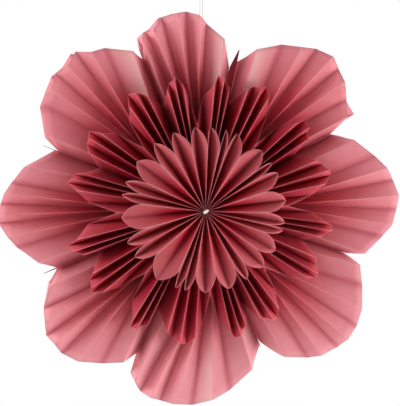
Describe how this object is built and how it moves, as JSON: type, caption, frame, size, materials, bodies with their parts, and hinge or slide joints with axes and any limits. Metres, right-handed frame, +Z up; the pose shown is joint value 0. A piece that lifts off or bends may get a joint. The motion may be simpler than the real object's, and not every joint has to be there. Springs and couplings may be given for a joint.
{
  "type": "hanging paper star",
  "caption": "Round pleated paper star with a small rosette before two-scalloped fans and large rounded petals, alike on both sides, hung by a looped thread.",
  "frame": {"origin": "inside top of the hanging thread's loop, where the hook or nail bears", "axes": "+Z up along the hanging thread, -Y towards the star's front, +X to the right seen from the front"},
  "size_m": [0.4494, 0.1601, 0.4792],
  "materials": {
    "rosette_paper": "matt uncoated dusty rose paper, dyed through",
    "fan_paper": "matt uncoated dusty rose paper, dyed through",
    "petal_paper": "matt uncoated dusty rose paper, dyed through",
    "leaf_paper": "matt uncoated dusty rose paper, dyed through",
    "thread": "white cotton thread"
  },
  "bodies": {
    "root": {"front_rosette": "rosette_paper", "rear_rosette": "rosette_paper", "front_fan_pair_1": "fan_paper", "rear_fan_pair_1": "fan_paper", "front_petal_1": "petal_paper", "rear_petal_1": "petal_paper", "seam_leaf_1": "leaf_paper", "front_fan_pair_2": "fan_paper", "rear_fan_pair_2": "fan_paper", "front_petal_2": "petal_paper", "rear_petal_2": "petal_paper", "seam_leaf_2": "leaf_paper", "front_fan_pair_3": "fan_paper", "rear_fan_pair_3": "fan_paper", "front_petal_3": "petal_paper", "rear_petal_3": "petal_paper", "seam_leaf_3": "leaf_paper", "front_fan_pair_4": "fan_paper", "rear_fan_pair_4": "fan_paper", "front_petal_4": "petal_paper", "rear_petal_4": "petal_paper", "seam_leaf_4": "leaf_paper", "front_fan_pair_5": "fan_paper", "rear_fan_pair_5": "fan_paper", "front_petal_5": "petal_paper", "rear_petal_5": "petal_paper", "seam_leaf_5": "leaf_paper", "front_fan_pair_6": "fan_paper", "rear_fan_pair_6": "fan_paper", "front_petal_6": "petal_paper", "rear_petal_6": "petal_paper", "seam_leaf_6": "leaf_paper", "front_fan_pair_7": "fan_paper", "rear_fan_pair_7": "fan_paper", "front_petal_7": "petal_paper", "rear_petal_7": "petal_paper", "seam_leaf_7": "leaf_paper", "front_fan_pair_8": "fan_paper", "rear_fan_pair_8": "fan_paper", "front_petal_8": "petal_paper", "rear_petal_8": "petal_paper", "seam_leaf_8": "leaf_paper", "hub_tie": "thread", "hanging_knot": "thread", "hanging_thread": "thread"}
  },
  "joints": []
}
